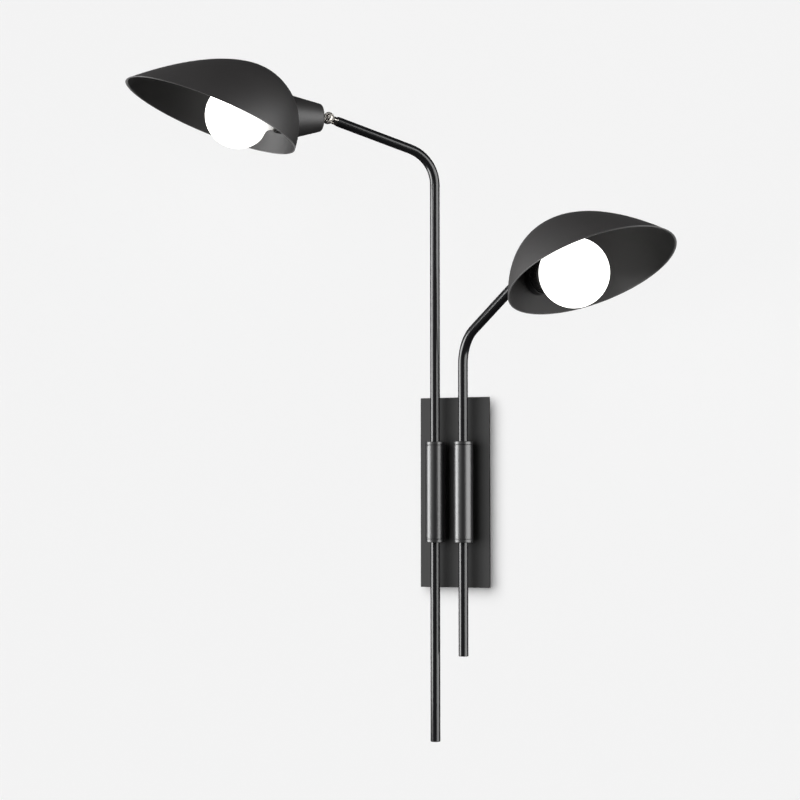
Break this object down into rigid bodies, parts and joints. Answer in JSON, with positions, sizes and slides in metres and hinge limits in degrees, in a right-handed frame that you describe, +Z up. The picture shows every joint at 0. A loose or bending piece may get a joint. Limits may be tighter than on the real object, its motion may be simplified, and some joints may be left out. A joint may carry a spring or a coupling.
{
  "type": "wall sconce",
  "caption": "Black wall sconce with bent rods that slide and swing in sleeves on a wall plate, each with a tilting scoop shade and a globe bulb.",
  "frame": {"origin": "middle of the wall plate's back, on the wall, between the two wall screw holes", "axes": "+Y into the wall, +Z up along the rods, +X to the viewer's right"},
  "size_m": [0.6618, 0.3127, 0.8253],
  "materials": {
    "black_metal": "satin",
    "shade_black": "matte",
    "nickel": "polished",
    "zinc_steel": "satin",
    "brass": "satin",
    "rubber_black": "matte",
    "black_plastic": "matte",
    "white_plastic": "matte",
    "opal_glass": "satin",
    "base_metal": "satin"
  },
  "bodies": {
    "wall_mount": {"wall_bracket": "zinc_steel", "wall_plate": "black_metal", "edge_screws": "black_metal", "cord_grommet": "rubber_black", "terminal_block": "white_plastic", "earth_screw": "brass", "post_spacers": "black_metal", "post_nipples": "zinc_steel", "post_nuts": "zinc_steel", "sleeve_left": "black_metal", "guide_bushes_left": "black_metal", "sleeve_right": "black_metal", "guide_bushes_right": "black_metal"},
    "carrier_left": {"slide_carrier_left": "brass"},
    "arm_left": {"rod_left": "black_metal", "rod_plug_left": "black_metal", "rod_clips_left": "zinc_steel", "lead_left": "rubber_black", "knuckle_arm_left": "nickel"},
    "head_left": {"knuckle_head_left": "nickel", "knuckle_screw_left": "nickel", "knuckle_nut_left": "nickel", "cup_left": "black_metal", "cup_nut_left": "zinc_steel", "shade_left": "shade_black", "lampholder_left": "black_plastic", "shade_ring_left": "black_plastic", "screw_shell_left": "brass", "centre_contact_left": "brass", "bulb_globe_left": "opal_glass", "bulb_base_left": "base_metal", "bulb_tip_left": "brass"},
    "carrier_right": {"slide_carrier_right": "brass"},
    "arm_right": {"rod_right": "black_metal", "rod_plug_right": "black_metal", "rod_clips_right": "zinc_steel", "lead_right": "rubber_black", "knuckle_arm_right": "nickel"},
    "head_right": {"knuckle_head_right": "nickel", "knuckle_screw_right": "nickel", "knuckle_nut_right": "nickel", "cup_right": "black_metal", "cup_nut_right": "zinc_steel", "shade_right": "shade_black", "lampholder_right": "black_plastic", "shade_ring_right": "black_plastic", "screw_shell_right": "brass", "centre_contact_right": "brass", "bulb_globe_right": "opal_glass", "bulb_base_right": "base_metal", "bulb_tip_right": "brass"}
  },
  "joints": [
    {"name": "height_left", "type": "slide", "parent": "wall_mount", "child": "carrier_left", "axis": [0, 0, 1], "range_m": [-0.035, 0.035]},
    {"name": "swing_left", "type": "hinge", "parent": "carrier_left", "child": "arm_left", "pos_m": [-0.01825, -0.036, 0], "axis": [0, 0, 1], "range_deg": [-20, 110]},
    {"name": "tilt_left", "type": "hinge", "parent": "arm_left", "child": "head_left", "pos_m": [-0.12594, -0.12352, 0.45817], "axis": [-0.6307, 0.776, 0], "range_deg": [-60, 45]},
    {"name": "height_right", "type": "slide", "parent": "wall_mount", "child": "carrier_right", "axis": [0, 0, 1], "range_m": [-0.035, 0.035]},
    {"name": "swing_right", "type": "hinge", "parent": "carrier_right", "child": "arm_right", "pos_m": [0.01825, -0.036, 0], "axis": [0, 0, 1], "range_deg": [-110, 20]},
    {"name": "tilt_right", "type": "hinge", "parent": "arm_right", "child": "head_right", "pos_m": [0.11771, -0.12095, 0.24791], "axis": [-0.6494, -0.7604, 0], "range_deg": [-60, 45]}
  ]
}
